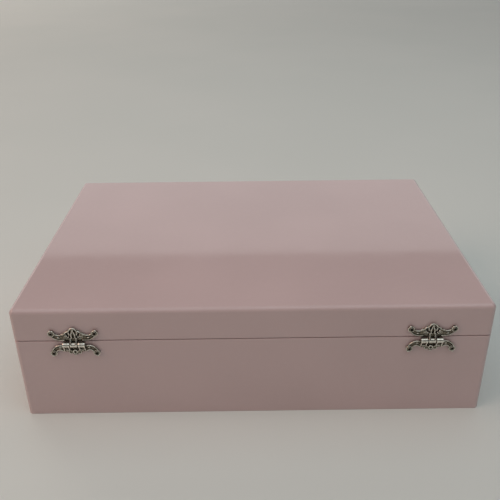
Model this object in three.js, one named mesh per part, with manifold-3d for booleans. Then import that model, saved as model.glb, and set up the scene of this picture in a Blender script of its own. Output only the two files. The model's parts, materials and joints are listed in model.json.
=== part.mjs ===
// A lidded jewelry box. The carcass and the lid are glued, painted fibreboard. The inside is lined
// with velvet, divided into compartments, and has a row of ring rolls along the front. Two cast
// scrollwork hinges hold the lid at the rear, and one cast scrollwork hasp latches it in front.
//
// Millimetres, +Z up. The origin is the centre of the underside. The latch faces -Y, the hinges +Y.

import * as THREE from "three";
import { mergeVertices } from "three/addons/utils/BufferGeometryUtils.js";
import Module from "manifold-3d";

const wasm = await Module();
wasm.setup();

// ---- Driving dimensions -------------------------------------------------------------------

const BOX_WIDTH = 300; // across, along X
const BOX_DEPTH = 215; // front to rear, along Y
const BASE_HEIGHT = 58.3; // floor to the rim of the lower half
const RIM_GAP = 0.5; // dark line between the two halves when shut
const LID_HEIGHT = 22.2;
const BOARD = 6; // thickness of the walls and of the lid's top
const FLOOR_BOARD = 4;
const CORNER_RADIUS = 3.1; // upright corners, seen from above
const EDGE_RADIUS = 3; // round-over along the top edge of the lid

const LINING = 1.5; // velvet on card
const LINING_DROP = 3; // lining stops this far under the rim
const FIT = 0.1; // gap round pieces that are pushed or glued into place
const DIVIDER = 4;
const DIVIDER_TOP = 50;
const RING_ROW_DEPTH = 62; // front strip that holds the ring rolls
const RING_BED_TOP = 30;
const RING_ROLLS = 4;
const CROSS_DIVIDERS = 3;
const LID_PAD = 6;

const HINGE_SPREAD = 111.8; // each hinge's centre, left and right of the middle
const PIN_BELOW_SEAM = 1.4; // hinge pin's axis, below the line where the halves meet
const AXIS_OUT = 2.2; // pin axes, out from the face that the fitting is screwed to
const KNUCKLE_RADIUS = 1.7;
const BORE_RADIUS = 0.78; // knuckles turn freely on their pin
const PIN_RADIUS = 0.68;
const MIDDLE_KNUCKLE = 4.4; // length along the pin
const KNUCKLE_GAP = 0.5;
const OUTER_KNUCKLE = 4.3;
const PIN_LENGTH = MIDDLE_KNUCKLE + 2 * (KNUCKLE_GAP + OUTER_KNUCKLE) + 0.2;

const SEAT = 0.15; // gap between a fitting and the paint under it
const PLATE_FRONT = 1.4; // front of a fitting's plate, out from the face
const PROUD = AXIS_OUT + KNUCKLE_RADIUS; // how far a fitting stands out in all
const LATCH_SCALE = 0.9; // the latch's plates against the hinge's
const LATCH_AXIS_ABOVE_SEAM = 3.4;
const CATCH_BELOW_SEAM = 0.6; // where the catch plate's own zero line lies

const SCREW_HEAD_RADIUS = 1.25;
const SCREW_SHANK_RADIUS = 0.6;
const SCREW_LENGTH = 5;
const PILOT_RADIUS = 0.8;
const SCREW_HOLE_RADIUS = 0.9;

// ---- Worked-out sizes ---------------------------------------------------------------------

const BOX_HEIGHT = BASE_HEIGHT + RIM_GAP + LID_HEIGHT;
const SEAM = BASE_HEIGHT + RIM_GAP / 2;
const LID_BOTTOM = BASE_HEIGHT + RIM_GAP;
const LID_WALL_TOP = BOX_HEIGHT - BOARD;
const INSIDE_X = BOX_WIDTH / 2 - BOARD; // half-widths of the hollow
const INSIDE_Y = BOX_DEPTH / 2 - BOARD;
const LINED_X = INSIDE_X - FIT - LINING;
const LINED_Y = INSIDE_Y - FIT - LINING;
const LINED_FLOOR = FLOOR_BOARD + LINING;
const LINING_TOP = BASE_HEIGHT - LINING_DROP;
const HINGE_AXIS_Z = SEAM - PIN_BELOW_SEAM;
const LATCH_AXIS_Z = SEAM + LATCH_AXIS_ABOVE_SEAM;
const CATCH_Z = SEAM - CATCH_BELOW_SEAM;

// ---- Materials ----------------------------------------------------------------------------

const pinkPaint = new THREE.MeshStandardMaterial({ color: 0xe2cbcf, roughness: 0.42 });
const bareBoard = new THREE.MeshStandardMaterial({ color: 0xa98763, roughness: 0.85 });
const castNickel = new THREE.MeshStandardMaterial({ color: 0x8d8a80, roughness: 0.35, metalness: 1 });
const steel = new THREE.MeshStandardMaterial({ color: 0x9c9a94, roughness: 0.3, metalness: 1 });
const velvet = new THREE.MeshStandardMaterial({ color: 0xeae0d2, roughness: 1 });
const foam = new THREE.MeshStandardMaterial({ color: 0xe4dccf, roughness: 1 });

// ---- Solids -------------------------------------------------------------------------------

function toSolid(geometry) {
  const loose = geometry.index ? geometry.toNonIndexed() : geometry;
  const bare = new THREE.BufferGeometry().setAttribute("position", loose.getAttribute("position"));
  const merged = mergeVertices(bare, 1e-4);
  const mesh = new wasm.Mesh({
    numProp: 3,
    vertProperties: merged.attributes.position.array,
    triVerts: new Uint32Array(merged.index.array),
  });
  return new wasm.Manifold(mesh);
}

function toGeometry(solid) {
  const mesh = solid.getMesh();
  const geometry = new THREE.BufferGeometry();
  geometry.setAttribute("position", new THREE.BufferAttribute(mesh.vertProperties, 3));
  geometry.setIndex(new THREE.BufferAttribute(mesh.triVerts, 1));
  geometry.computeVertexNormals();
  return geometry;
}

function join(geometries) {
  return toGeometry(geometries.map(toSolid).reduce((whole, next) => whole.add(next)));
}

function cut(geometry, tools) {
  return toGeometry(tools.map(toSolid).reduce((whole, tool) => whole.subtract(tool), toSolid(geometry)));
}

// A box given by its lowest and highest corners.
function block([x0, y0, z0], [x1, y1, z1]) {
  const box = new THREE.BoxGeometry(x1 - x0, y1 - y0, z1 - z0);
  return box.translate((x0 + x1) / 2, (y0 + y1) / 2, (z0 + z1) / 2);
}

// An upright cylinder standing at (x, y) from z0 to z1.
function disc(x, y, radius, z0, z1, sides = 12) {
  const geometry = new THREE.CylinderGeometry(radius, radius, z1 - z0, sides).rotateX(Math.PI / 2);
  return geometry.translate(x, y, (z0 + z1) / 2);
}

// A rod along X, centred on (x, y, z).
function rod(x, y, z, radius, length, sides = 14) {
  return new THREE.CylinderGeometry(radius, radius, length, sides).rotateZ(Math.PI / 2).translate(x, y, z);
}

// A flat ribbon with a round end, along a smooth curve through 2D points. Its half-width runs
// evenly from the first value to the second.
function ribbon(points, [startHalf, endHalf], z0, z1, steps = 7) {
  const curve = new THREE.SplineCurve(points.map(([x, y]) => new THREE.Vector2(x, y)));
  const left = [];
  const right = [];
  for (let i = 0; i <= steps; i++) {
    const t = i / steps;
    const middle = curve.getPoint(t);
    const along = curve.getTangent(t);
    const half = startHalf + (endHalf - startHalf) * t;
    const side = new THREE.Vector2(-along.y, along.x).multiplyScalar(half);
    left.push(middle.clone().add(side));
    right.unshift(middle.clone().sub(side));
  }
  const shape = new THREE.Shape([...left, ...right]);
  const body = new THREE.ExtrudeGeometry(shape, { depth: z1 - z0, bevelEnabled: false });
  return body.translate(0, 0, z0);
}

// ---- Placing ------------------------------------------------------------------------------

const box = new THREE.Group();

function place(parent, name, geometry, material) {
  const mesh = new THREE.Mesh(geometry, material);
  mesh.name = name;
  parent.add(mesh);
  return mesh;
}

// A group on the front or rear face: its X runs across, its Y up and its Z out of the face.
function onFace(isRear, across, height) {
  const turned = new THREE.Group();
  turned.rotation.z = isRear ? Math.PI : 0;
  const face = new THREE.Group();
  face.rotation.x = Math.PI / 2;
  face.position.set(across, -BOX_DEPTH / 2, height);
  turned.add(face);
  box.add(turned);
  return face;
}

// ---- Carcass and lid ----------------------------------------------------------------------

// The front or rear wall runs the full width, with its two outer corners rounded.
function longWall(isRear, bottom, top, pilots) {
  const outer = BOX_DEPTH / 2;
  const inner = outer - BOARD;
  const half = BOX_WIDTH / 2;
  const shape = new THREE.Shape();
  shape.moveTo(-half, inner);
  shape.lineTo(half, inner);
  shape.lineTo(half, outer - CORNER_RADIUS);
  shape.absarc(half - CORNER_RADIUS, outer - CORNER_RADIUS, CORNER_RADIUS, 0, Math.PI / 2);
  shape.lineTo(-half + CORNER_RADIUS, outer);
  shape.absarc(-half + CORNER_RADIUS, outer - CORNER_RADIUS, CORNER_RADIUS, Math.PI / 2, Math.PI);
  const wall = new THREE.ExtrudeGeometry(shape, { depth: top - bottom, bevelEnabled: false, curveSegments: 6 });
  wall.translate(0, 0, bottom);
  if (!isRear) wall.rotateZ(Math.PI);
  return cut(wall, pilots.map(([x, z]) => pilotHole(isRear, x, z)));
}

// A blind hole for a screw's shank, bored in from the outer face.
function pilotHole(isRear, x, z) {
  const depth = SCREW_LENGTH + 0.3;
  const hole = new THREE.CylinderGeometry(PILOT_RADIUS, PILOT_RADIUS, 2 * depth, 8);
  return hole.translate(x, (isRear ? 1 : -1) * (BOX_DEPTH / 2), z);
}

function sideWall(side, bottom, top) {
  const outer = (side * BOX_WIDTH) / 2;
  const inner = side * INSIDE_X;
  return block([Math.min(outer, inner), -INSIDE_Y, bottom], [Math.max(outer, inner), INSIDE_Y, top]);
}

// The lid's top board has its upper edge rounded over. It is the upper half of a slab that is
// rounded on both faces.
function lidTop() {
  const halfX = BOX_WIDTH / 2 - EDGE_RADIUS;
  const halfY = BOX_DEPTH / 2 - EDGE_RADIUS;
  const radius = CORNER_RADIUS - EDGE_RADIUS;
  const shape = new THREE.Shape();
  shape.absarc(halfX - radius, halfY - radius, radius, 0, Math.PI / 2);
  shape.absarc(-halfX + radius, halfY - radius, radius, Math.PI / 2, Math.PI);
  shape.absarc(-halfX + radius, -halfY + radius, radius, Math.PI, 1.5 * Math.PI);
  shape.absarc(halfX - radius, -halfY + radius, radius, 1.5 * Math.PI, 2 * Math.PI);
  const slab = new THREE.ExtrudeGeometry(shape, {
    depth: 2 * (BOARD - EDGE_RADIUS),
    bevelThickness: EDGE_RADIUS,
    bevelSize: EDGE_RADIUS,
    bevelSegments: 4,
    curveSegments: 6,
  });
  slab.translate(0, 0, LID_WALL_TOP - (BOARD - EDGE_RADIUS));
  const below = block([-BOX_WIDTH, -BOX_DEPTH, 0], [BOX_WIDTH, BOX_DEPTH, LID_WALL_TOP]);
  return cut(slab, [below]);
}

function addCarcass(hingeScrews, catchScrews) {
  place(box, "base_floor_board", block([-INSIDE_X, -INSIDE_Y, 0], [INSIDE_X, INSIDE_Y, FLOOR_BOARD]), bareBoard);
  place(box, "base_front_wall", longWall(false, 0, BASE_HEIGHT, catchScrews), pinkPaint);
  place(box, "base_rear_wall", longWall(true, 0, BASE_HEIGHT, hingeScrews), pinkPaint);
  place(box, "base_left_wall", sideWall(-1, 0, BASE_HEIGHT), pinkPaint);
  place(box, "base_right_wall", sideWall(1, 0, BASE_HEIGHT), pinkPaint);
}

function addLid(hingeScrews, latchScrews) {
  place(box, "lid_top_board", lidTop(), pinkPaint);
  place(box, "lid_front_wall", longWall(false, LID_BOTTOM, LID_WALL_TOP, latchScrews), pinkPaint);
  place(box, "lid_rear_wall", longWall(true, LID_BOTTOM, LID_WALL_TOP, hingeScrews), pinkPaint);
  place(box, "lid_left_wall", sideWall(-1, LID_BOTTOM, LID_WALL_TOP), pinkPaint);
  place(box, "lid_right_wall", sideWall(1, LID_BOTTOM, LID_WALL_TOP), pinkPaint);
  const padX = INSIDE_X - 2 * FIT;
  const padY = INSIDE_Y - 2 * FIT;
  const padTop = LID_WALL_TOP - FIT;
  place(box, "lid_pad", block([-padX, -padY, padTop - LID_PAD], [padX, padY, padTop]), velvet);
}

// ---- Lining, dividers and ring rolls ------------------------------------------------------

function addLining() {
  const reachX = INSIDE_X - FIT;
  const reachY = INSIDE_Y - FIT;
  const low = LINED_FLOOR + FIT;
  place(box, "lining_floor", block([-reachX, -reachY, FLOOR_BOARD], [reachX, reachY, LINED_FLOOR]), velvet);
  place(box, "lining_front", block([-reachX, -reachY, low], [reachX, -LINED_Y, LINING_TOP]), velvet);
  place(box, "lining_rear", block([-reachX, LINED_Y, low], [reachX, reachY, LINING_TOP]), velvet);
  const sideY = LINED_Y - FIT;
  place(box, "lining_left", block([-reachX, -sideY, low], [-LINED_X, sideY, LINING_TOP]), velvet);
  place(box, "lining_right", block([LINED_X, -sideY, low], [reachX, sideY, LINING_TOP]), velvet);
}

// Two long dividers, and cross dividers that are half-lapped over the rear one.
function addDividers() {
  const low = LINED_FLOOR + FIT;
  const lapHeight = (low + DIVIDER_TOP) / 2;
  const lap = DIVIDER / 2 + 3 * FIT; // half of a slot's width
  const reachX = LINED_X - FIT;
  const frontY = -LINED_Y + RING_ROW_DEPTH + DIVIDER / 2;
  const cellStart = frontY + DIVIDER / 2;
  const rearY = (cellStart + LINED_Y) / 2;
  const long = (y) => block([-reachX, y - DIVIDER / 2, low], [reachX, y + DIVIDER / 2, DIVIDER_TOP]);
  place(box, "divider_long_front", long(frontY), velvet);

  const crossings = [];
  for (let i = 1; i <= CROSS_DIVIDERS; i++) {
    crossings.push(-LINED_X + (2 * LINED_X * i) / (CROSS_DIVIDERS + 1));
  }
  const above = DIVIDER_TOP + 1;
  const slots = crossings.map((x) =>
    block([x - lap, rearY - DIVIDER, lapHeight - FIT], [x + lap, rearY + DIVIDER, above]),
  );
  place(box, "divider_long_rear", cut(long(rearY), slots), velvet);

  crossings.forEach((x, i) => {
    const start = [x - DIVIDER / 2, cellStart + FIT, low];
    const board = block(start, [x + DIVIDER / 2, LINED_Y - FIT, DIVIDER_TOP]);
    const slot = block([x - DIVIDER, rearY - lap, low - 1], [x + DIVIDER, rearY + lap, lapHeight + FIT]);
    place(box, `divider_cross_${i + 1}`, cut(board, [slot]), velvet);
  });
}

function addRingRolls() {
  const reachX = LINED_X - 2 * FIT;
  const front = -LINED_Y + 2 * FIT;
  const depth = RING_ROW_DEPTH - 4 * FIT;
  const bedLow = [-reachX, front, LINED_FLOOR + FIT];
  place(box, "ring_bed", block(bedLow, [reachX, front + depth, RING_BED_TOP]), foam);
  const pitch = depth / RING_ROLLS;
  const radius = pitch / 2 - FIT;
  for (let i = 0; i < RING_ROLLS; i++) {
    const y = front + pitch * (i + 0.5);
    const roll = rod(0, y, RING_BED_TOP + radius + FIT, radius, 2 * reachX, 20);
    place(box, `ring_roll_${i + 1}`, roll, velvet);
  }
}

// ---- Cast scrollwork fittings -------------------------------------------------------------
// Each plate is drawn with X across and Y away from the pin, and stands out along Z.

const EAR_RADIUS = 2.2;
const BAR_HALF = 7.0; // the plate's straight bar, beside the pin
const BAR_START = 2.3; // clear of the other leaf's knuckles
const BAR_END = 5.0;
const NOTCH = [2.4, 1.3]; // half-width and depth, under the middle knuckle

// Lobes are x, y and radius. An arm is a curve that ends in the middle of its ear, with its
// half-widths at the root and at the ear.
const PALMETTE = {
  lobes: [[0, 9.7, 2.3], [2.6, 8.2, 2.1], [5.0, 6.7, 1.9], [7.4, 5.9, 1.3]],
  arm: [[6, 5.0], [9.3, 4.9], [11.7, 5.7], [13.5, 7.8]],
  armHalf: [1.9, 1.2],
};
const TREFOIL = {
  lobes: [[0, 7.1, 1.7], [2.8, 6.1, 1.8], [5.2, 4.9, 1.5]],
  arm: [[6, 3.8], [9.0, 2.8], [11.3, 3.4], [12.8, 4.9], [13.5, 6.8]],
  armHalf: [1.7, 1.2],
};

// The middles of a plate's two ears. flip is 1 for a plate above its pin and -1 for one below.
function ears(pattern, flip, scale) {
  const [across, away] = pattern.arm.at(-1);
  return [-1, 1].map((side) => [side * across * scale, flip * away * scale]);
}

// The plate's outline is a bar, a fan of round lobes over it, and an arm that curves out to a
// round ear on each side.
function scrollPlate(pattern, flip, scale) {
  const at = (x, y) => [x * scale, y * scale * flip];
  const lobe = (x, y, radius) => disc(...at(x, y), radius * scale, SEAT, PLATE_FRONT);
  const [barX, barStart] = at(BAR_HALF, BAR_START);
  const [, barEnd] = at(0, BAR_END);
  const low = Math.min(barStart, barEnd);
  const high = Math.max(barStart, barEnd);
  const pieces = [block([-barX, low, SEAT], [barX, high, PLATE_FRONT])];
  for (const side of [-1, 1]) {
    pattern.lobes.forEach(([x, y, radius]) => pieces.push(lobe(side * x, y, radius)));
    pieces.push(lobe(side * pattern.arm.at(-1)[0], pattern.arm.at(-1)[1], EAR_RADIUS));
    const path = pattern.arm.map(([x, y]) => at(side * x, y));
    pieces.push(ribbon(path, pattern.armHalf.map((w) => w * scale), SEAT, PLATE_FRONT));
  }
  return pieces;
}

function earHoles(pattern, flip, scale) {
  return ears(pattern, flip, scale).map(([x, y]) => disc(x, y, SCREW_HOLE_RADIUS, -1, PROUD));
}

// The strap that carries a knuckle from its plate round the pin, from x0 to x1.
function knuckleStrap(flip, x0, x1) {
  const reach = 4.4;
  const tangent = KNUCKLE_RADIUS * Math.SQRT1_2;
  const profile = [
    [reach, SEAT],
    [reach, PLATE_FRONT],
    [tangent, AXIS_OUT + tangent],
    [0, AXIS_OUT],
    [0, AXIS_OUT - KNUCKLE_RADIUS + 0.1],
    [1, SEAT],
  ];
  // The extrusion runs along its own Z, which is turned to lie along X.
  const shape = new THREE.Shape(profile.map(([away, out]) => new THREE.Vector2(-out, away * flip)));
  const strap = new THREE.ExtrudeGeometry(shape, { depth: x1 - x0, bevelEnabled: false });
  return strap.rotateY(Math.PI / 2).translate(x0, 0, 0);
}

function knuckle(flip, x0, x1) {
  return [rod((x0 + x1) / 2, 0, AXIS_OUT, KNUCKLE_RADIUS, x1 - x0), knuckleStrap(flip, x0, x1)];
}

function middleKnuckle(flip) {
  return knuckle(flip, -MIDDLE_KNUCKLE / 2, MIDDLE_KNUCKLE / 2);
}

function outerKnuckles(flip) {
  const near = MIDDLE_KNUCKLE / 2 + KNUCKLE_GAP;
  const far = near + OUTER_KNUCKLE;
  return [...knuckle(flip, -far, -near), ...knuckle(flip, near, far)];
}

function pinBore() {
  return rod(0, 0, AXIS_OUT, BORE_RADIUS, PIN_LENGTH + 2, 10);
}

// A round-headed screw with a cross recess, lying along Z with its head's seat at Z = 0.
function crossScrew() {
  const profile = [
    [0, -SCREW_LENGTH],
    [SCREW_SHANK_RADIUS, -SCREW_LENGTH + 1.4],
    [SCREW_SHANK_RADIUS, 0],
    [SCREW_HEAD_RADIUS, 0],
    [SCREW_HEAD_RADIUS, 0.25],
    [SCREW_HEAD_RADIUS * 0.8, 0.6],
    [0, 0.8],
  ];
  const body = new THREE.LatheGeometry(profile.map(([r, h]) => new THREE.Vector2(r, h)), 10);
  body.rotateX(Math.PI / 2);
  const arm = 0.75;
  const half = 0.16;
  const recess = [
    block([-arm, -half, 0.35], [arm, half, 2]),
    block([-half, -arm, 0.35], [half, arm, 2]),
  ];
  return cut(body, recess);
}

function addScrews(face, name, pattern, flip, scale) {
  ears(pattern, flip, scale).forEach(([x, y], i) => {
    const screw = place(face, `${name}_${i + 1}`, crossScrew(), steel);
    screw.position.set(x, y, PLATE_FRONT + FIT);
  });
}

// One hinge: the upper leaf has the middle knuckle, and the lower leaf the two outer ones.
function addHinge(name, across) {
  const face = onFace(true, across, HINGE_AXIS_Z);
  const upper = join([...scrollPlate(PALMETTE, 1, 1), ...middleKnuckle(1)]);
  const upperLeaf = cut(upper, [pinBore(), ...earHoles(PALMETTE, 1, 1)]);
  place(face, `${name}_upper_leaf`, upperLeaf, castNickel);

  const lower = join(scrollPlate(TREFOIL, -1, 1));
  const notch = disc(0, 0, 1, -1, PROUD).scale(...NOTCH, 1).translate(0, -BAR_START, 0);
  const opened = cut(lower, [notch]);
  const holes = [pinBore(), ...earHoles(TREFOIL, -1, 1)];
  const lowerLeaf = cut(join([opened, ...outerKnuckles(-1)]), holes);
  place(face, `${name}_lower_leaf`, lowerLeaf, castNickel);

  place(face, `${name}_pin`, rod(0, 0, AXIS_OUT, PIN_RADIUS, PIN_LENGTH, 10), steel);
  addScrews(face, `${name}_screw_upper`, PALMETTE, 1, 1);
  addScrews(face, `${name}_screw_lower`, TREFOIL, -1, 1);
}

// ---- Latch --------------------------------------------------------------------------------

const HASP_BACK = 2; // back of the shut hasp, out from the face
const HASP_FRONT = 3;
const STUD_DROP = 8.2; // from the latch's pin down to the middle of the catch's stud
const STUD_HALF = [1.3, 1.0]; // half-width and half-height
const WINDOW_HALF = [1.9, 2.1];
const LIP_DROP = 0.5; // how far the stud's head hooks down over the hasp

// The hasp hangs from the latch's pin, and its window drops over the catch's stud.
function haspGeometry() {
  const neck = ribbon([[0, 0], [0, -4]], [2.2, 3.2], HASP_BACK, HASP_FRONT, 2);
  const shoulder = disc(0, -5.6, 3.6, HASP_BACK, HASP_FRONT, 18);
  const frame = disc(0, -STUD_DROP, 3.9, HASP_BACK, HASP_FRONT, 18);
  const tail = ribbon([[0, -8], [0, -12]], [3.2, 1.7], HASP_BACK, HASP_FRONT, 2);
  const tip = disc(0, -12.2, 1.7, HASP_BACK, HASP_FRONT);
  const gripRadius = 0.7;
  const grip = rod(0, -13, PROUD - gripRadius, gripRadius, 3, 10);
  const barrel = rod(0, 0, AXIS_OUT, KNUCKLE_RADIUS, MIDDLE_KNUCKLE);
  const [w, h] = WINDOW_HALF;
  const window = block([-w, -STUD_DROP - h, 0], [w, -STUD_DROP + h, 2 * PROUD]);
  return cut(join([neck, shoulder, frame, tail, tip, grip, barrel]), [window, pinBore()]);
}

function addLatch() {
  const upperFace = onFace(false, 0, LATCH_AXIS_Z);
  const upper = join([...scrollPlate(PALMETTE, 1, LATCH_SCALE), ...outerKnuckles(1)]);
  const holes = [pinBore(), ...earHoles(PALMETTE, 1, LATCH_SCALE)];
  place(upperFace, "latch_plate", cut(upper, holes), castNickel);
  place(upperFace, "latch_pin", rod(0, 0, AXIS_OUT, PIN_RADIUS, PIN_LENGTH, 10), steel);
  place(upperFace, "latch_hasp", haspGeometry(), castNickel);

  const lowerFace = onFace(false, 0, CATCH_Z);
  const studY = LATCH_AXIS_Z - STUD_DROP - CATCH_Z;
  const [w, h] = STUD_HALF;
  const stud = block([-w, studY - h, SEAT], [w, studY + h, PROUD]);
  const lip = block([-w, studY - h - LIP_DROP, HASP_FRONT + 2 * FIT], [w, studY, PROUD]);
  const catchPlate = join([...scrollPlate(TREFOIL, -1, LATCH_SCALE), stud, lip]);
  place(lowerFace, "catch_plate", cut(catchPlate, earHoles(TREFOIL, -1, LATCH_SCALE)), castNickel);

  addScrews(upperFace, "latch_screw", PALMETTE, 1, LATCH_SCALE);
  addScrews(lowerFace, "catch_screw", TREFOIL, -1, LATCH_SCALE);
}

// ---- Assembly -----------------------------------------------------------------------------

// X and Z of the pilot holes behind a plate's ears.
function platePilots(across, height, pattern, flip, scale) {
  return ears(pattern, flip, scale).map(([x, y]) => [across + x, height + y]);
}

function hingePilots(pattern, flip) {
  return [-HINGE_SPREAD, HINGE_SPREAD].flatMap((x) => platePilots(x, HINGE_AXIS_Z, pattern, flip, 1));
}

const latchPilots = platePilots(0, LATCH_AXIS_Z, PALMETTE, 1, LATCH_SCALE);
const catchPilots = platePilots(0, CATCH_Z, TREFOIL, -1, LATCH_SCALE);

addCarcass(hingePilots(TREFOIL, -1), catchPilots);
addLid(hingePilots(PALMETTE, 1), latchPilots);
addLining();
addDividers();
addRingRolls();
addHinge("hinge_left", HINGE_SPREAD);
addHinge("hinge_right", -HINGE_SPREAD);
addLatch();

export default box;
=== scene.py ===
"""The looks of a lidded jewelry box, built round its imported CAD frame.

Metres, +Z up. The latch faces -Y and the hinges +Y. Every place and size comes from the frame's
nodes. The fittings are modelled in millimetres on the face that they are screwed to: x across,
y away from the pin, z out of the face.
"""

import json
import math

import bmesh
import bpy
import numpy as np
from mathutils import Matrix, Vector, noise

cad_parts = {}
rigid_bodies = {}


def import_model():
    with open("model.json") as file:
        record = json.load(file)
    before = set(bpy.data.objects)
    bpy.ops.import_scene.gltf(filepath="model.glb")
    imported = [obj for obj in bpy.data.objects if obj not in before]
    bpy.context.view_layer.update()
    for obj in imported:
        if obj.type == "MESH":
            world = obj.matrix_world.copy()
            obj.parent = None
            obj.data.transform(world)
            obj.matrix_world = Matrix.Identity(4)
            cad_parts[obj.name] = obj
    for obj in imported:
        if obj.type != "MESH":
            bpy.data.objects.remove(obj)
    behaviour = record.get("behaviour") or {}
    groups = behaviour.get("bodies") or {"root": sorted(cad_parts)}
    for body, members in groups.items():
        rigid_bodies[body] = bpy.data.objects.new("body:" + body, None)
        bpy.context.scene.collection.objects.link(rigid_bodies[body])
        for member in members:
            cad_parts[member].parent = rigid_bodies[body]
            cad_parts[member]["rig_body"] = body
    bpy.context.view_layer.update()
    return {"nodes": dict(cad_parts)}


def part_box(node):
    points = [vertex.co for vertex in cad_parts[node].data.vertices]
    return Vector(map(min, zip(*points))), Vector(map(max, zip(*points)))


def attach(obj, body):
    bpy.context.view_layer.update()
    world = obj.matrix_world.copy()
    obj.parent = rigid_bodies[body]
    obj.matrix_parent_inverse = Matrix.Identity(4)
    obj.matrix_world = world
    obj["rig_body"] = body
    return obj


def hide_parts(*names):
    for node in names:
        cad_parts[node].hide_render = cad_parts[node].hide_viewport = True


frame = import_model()

MM = 0.001

# ---- Sizes in metres ----------------------------------------------------------------------

CORNER_RADIUS = 0.0031  # upright corners of the box, seen from above
EDGE_RADIUS = 0.003  # round-over along the top of the lid
RIM_ROUND = 0.00045  # paint-softened edges where the two halves meet
FOOT_ROUND = 0.0003
BOARD_ROUND = 0.0002
VELVET_ROUND = 0.0006
DIVIDER_ROUND = 0.0017
DIVIDER_FIT = 0.0003  # clearance in the half-lapped slots of the dividers
BED_ROUND = 0.003
ROLL_ROUND = 0.003  # at the ends of the ring rolls
ROLL_DENT = 0.00035
PAD_ROUND = 0.0018
PAD_INSET = 0.0004  # what the pad starts smaller by all round, because the simulation swells it
PAD_CROWN_ROOM = 0.0005  # and what it starts thinner by
PAD_GLUED = 0.0025  # how much of the pad's height is glued to the lid
ARC_STEPS = 12

# ---- Sizes of the fittings in millimetres -------------------------------------------------

SEAT = 0.15  # gap to the paint under a fitting
SHADE_SHEET_FRONT = 0.55  # front of a dark sheet sunk behind a plate's gaps, out from the face: painted shade for those gaps
RELIEF = 1.9  # front of the raised ornament
AXIS_OUT = 2.2
KNUCKLE = 1.7
BORE = 0.78
MIDDLE_HALF = 2.2  # half-length of the middle knuckle
OUTER_START, OUTER_END = 2.7, 7.0  # the outer knuckles, from the middle
# Where the sheet of painted shade starts, away from the pin.
SHADE_SHEET_START = 1.35
BAR_START, BAR_END, BAR_HALF = 3.0, 5.0, 7.0
LATCH_SCALE = 0.9
CATCH_BELOW_SEAM = 0.6
STUD_DROP = 8.2  # from the latch's pin down to the middle of the catch's stud
VOXEL = 0.17
BEAD_STEP = 0.22  # spacing of the beads that a rib is swept from
RELIEF_PASSES = 9  # how widely a casting is blurred to tell its high spots from its hollows
RELIEF_MIDDLE = 1.3  # parts further out than this wear bright, and parts nearer the face stay dark
PROUD_WEAR = 0.032  # how strongly they do

SCREW_HEAD = 0.8  # height of a screw's round head
SCREW_HEAD_RADIUS = 1.25
SCREW_SHANK_RADIUS = 0.6
SCREW_LENGTH = 5
SCREW_POINT = 1.4
RECESS_ARM, RECESS_HALF, RECESS_FLOOR = 0.75, 0.16, 0.35  # cross recess in the head
PIN_DOME = 0.15  # how far a pin's peened ends bulge

half_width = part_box("lid_top_board")[1].x
half_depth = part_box("lid_top_board")[1].y
inside_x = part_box("base_floor_board")[1].x
inside_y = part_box("base_floor_board")[1].y


# ---- Node materials -----------------------------------------------------------------------


class Nodes:
    """A material under construction, with short calls for the nodes that it uses."""

    def __init__(self, name):
        self.material = bpy.data.materials.new(name)
        self.material.use_nodes = True
        self.tree = self.material.node_tree
        self.shader = self.tree.nodes["Principled BSDF"]
        self.place = self.tree.nodes.new("ShaderNodeTexCoord").outputs["Object"]

    def link(self, value, socket):
        if isinstance(value, bpy.types.NodeSocket):
            self.tree.links.new(value, socket)
        else:
            socket.default_value = value

    def noise(self, scale, detail=3.0, roughness=0.5, stretch=(1, 1, 1)):
        mapping = self.tree.nodes.new("ShaderNodeMapping")
        mapping.inputs["Scale"].default_value = stretch
        self.link(self.place, mapping.inputs["Vector"])
        node = self.tree.nodes.new("ShaderNodeTexNoise")
        node.inputs["Scale"].default_value = scale
        node.inputs["Detail"].default_value = detail
        node.inputs["Roughness"].default_value = roughness
        self.link(mapping.outputs["Vector"], node.inputs["Vector"])
        return node.outputs["Fac"]

    def math(self, operation, *values):
        node = self.tree.nodes.new("ShaderNodeMath")
        node.operation = operation
        for value, socket in zip(values, node.inputs):
            self.link(value, socket)
        return node.outputs["Value"]

    def remap(self, value, low, high, to_low, to_high):
        node = self.tree.nodes.new("ShaderNodeMapRange")
        node.interpolation_type = "SMOOTHSTEP"
        for entry, socket in zip((value, low, high, to_low, to_high), node.inputs):
            self.link(entry, socket)
        return node.outputs["Result"]

    def mix(self, factor, a, b):
        node = self.tree.nodes.new("ShaderNodeMix")
        node.data_type = "RGBA"
        self.link(factor, node.inputs["Factor"])
        self.link(a, node.inputs[6])
        self.link(b, node.inputs[7])
        return node.outputs[2]

    def bump(self, height, strength, distance, under=None):
        node = self.tree.nodes.new("ShaderNodeBump")
        node.inputs["Strength"].default_value = strength
        node.inputs["Distance"].default_value = distance
        self.link(height, node.inputs["Height"])
        if under is not None:
            self.link(under, node.inputs["Normal"])
        return node.outputs["Normal"]

    def finish(self, **inputs):
        for name, value in inputs.items():
            self.link(value, self.shader.inputs[name.replace("_", " ")])
        return self.material


def pink_paint():
    """Satin paint: faint roller texture, slow drifts of tone, and a sheen that shows the room."""
    m = Nodes("pink_paint")
    drift = m.noise(9, 2)
    speck = m.noise(260, 2)
    tone = m.mix(m.remap(drift, 0.3, 0.7, 0, 1), (0.585, 0.44, 0.43, 1), (0.625, 0.47, 0.46, 1))
    tone = m.mix(m.remap(speck, 0.45, 0.8, 0, 0.12), tone, (0.67, 0.52, 0.51, 1))
    roller = m.bump(m.noise(700, 2), 0.04, 0.00006)
    wave = m.bump(m.noise(40, 1), 0.05, 0.0002, roller)
    rough = m.remap(m.noise(60, 2), 0.3, 0.7, 0.045, 0.065)
    return m.finish(Base_Color=tone, Roughness=rough, Normal=wave, IOR=1.5)


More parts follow.
